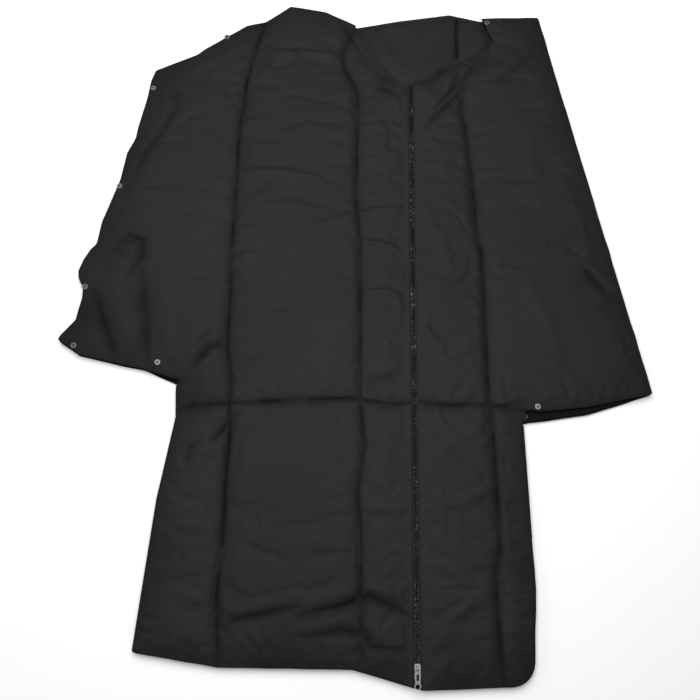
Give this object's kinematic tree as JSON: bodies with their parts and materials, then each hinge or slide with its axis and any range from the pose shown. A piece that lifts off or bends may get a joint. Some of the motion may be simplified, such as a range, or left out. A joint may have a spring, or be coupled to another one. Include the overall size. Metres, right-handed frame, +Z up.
{
  "type": "infrared sauna blanket",
  "caption": "Black quilted far-infrared sauna blanket with sleeves, open-fronted along a separating zip, its left sleeve closed by ring press studs, lying flat.",
  "frame": {"origin": "centre of the blanket's plan outline, on the face that it lies on", "axes": "+Z up, +Y towards the head end, +X towards the side with the zip"},
  "size_m": [1.44, 1.8, 0.026],
  "materials": {
    "shell_nylon": "woven nylon shell, faint sheen",
    "lining_pu": "smooth coated lining, wipe-clean",
    "insulation_felt": "loose needle felt",
    "reflector_foil": "bright reflective foil",
    "carbon_ribbon": "carbon-fibre heating ribbon in film",
    "seam_tape": "folded and stitched seam tape",
    "zip_tape": "woven polyester zip tape",
    "zip_teeth": "moulded dark grey resin",
    "nickel": "nickel-plated zinc and brass",
    "moulded_plastic": "moulded black plastic",
    "contact_brass": "bright brass contact pins",
    "wire_silicone": "flat silicone lead"
  },
  "bodies": {
    "root": {"back_shell": "shell_nylon", "back_insulation": "insulation_felt", "back_foil": "reflector_foil", "back_heater_upper": "carbon_ribbon", "back_heater_lower": "carbon_ribbon", "back_lining": "lining_pu", "back_thermal_cutout": "moulded_plastic", "temperature_sensor": "moulded_plastic", "wiring_harness": "wire_silicone", "inlet_housing": "moulded_plastic", "inlet_pins": "contact_brass", "left_side_lining": "lining_pu", "left_side_foil": "reflector_foil", "left_side_insulation": "insulation_felt", "left_side_shell": "shell_nylon", "right_sleeve_lining": "lining_pu", "right_sleeve_foil": "reflector_foil", "right_sleeve_insulation": "insulation_felt", "right_sleeve_shell": "shell_nylon", "left_side_seam": "seam_tape", "right_side_seam_lower": "seam_tape", "right_side_seam_upper": "seam_tape", "right_sleeve_fold": "seam_tape", "fixed_snap_rings": "nickel", "fixed_snap_sockets": "nickel", "back_snap_studs": "nickel", "back_snap_caps": "nickel"},
    "front_left": {"front_left_lining": "lining_pu", "front_left_foil": "reflector_foil", "front_left_insulation": "insulation_felt", "front_left_shell": "shell_nylon", "front_left_heater": "carbon_ribbon", "front_thermal_cutout": "moulded_plastic", "zip_tape_left": "zip_tape", "zip_teeth_left": "zip_teeth", "zip_top_stop_left": "zip_teeth", "zip_retainer_box": "zip_teeth"},
    "front_right": {"front_right_lining": "lining_pu", "front_right_foil": "reflector_foil", "front_right_insulation": "insulation_felt", "front_right_shell": "shell_nylon", "front_right_heater": "carbon_ribbon", "zip_tape_right": "zip_tape", "zip_teeth_right": "zip_teeth", "zip_top_stop_right": "zip_teeth", "zip_insertion_pin": "zip_teeth"},
    "left_sleeve": {"left_sleeve_lining": "lining_pu", "left_sleeve_foil": "reflector_foil", "left_sleeve_insulation": "insulation_felt", "left_sleeve_shell": "shell_nylon", "left_sleeve_snap_rings": "nickel", "left_sleeve_snap_sockets": "nickel"},
    "zip_slider": {"zip_slider": "nickel"},
    "zip_pull": {"zip_pull_tab": "nickel", "zip_pull_pin": "nickel"}
  },
  "joints": [
    {"name": "front_left_open", "type": "hinge", "parent": "root", "child": "front_left", "pos_m": [-0.292, 0, 0.0202], "axis": [0, -1, 0], "range_deg": [0, 120]},
    {"name": "front_right_open", "type": "hinge", "parent": "root", "child": "front_right", "pos_m": [0.325, 0, 0.0202], "axis": [0, 1, 0], "range_deg": [0, 160]},
    {"name": "left_sleeve_open", "type": "hinge", "parent": "root", "child": "left_sleeve", "pos_m": [-0.414, -0.207, 0.0202], "axis": [0.0124, 0.9999, 0], "range_deg": [0, 75]},
    {"name": "zip_slide", "type": "slide", "parent": "front_left", "child": "zip_slider", "axis": [0.0137, 0.9999, 0], "range_m": [0, 1.472]},
    {"name": "zip_pull_flip", "type": "hinge", "parent": "zip_slider", "child": "zip_pull", "pos_m": [0.14053, -0.854, 0.0242], "axis": [-0.9999, 0.0137, 0], "range_deg": [0, 170]}
  ]
}
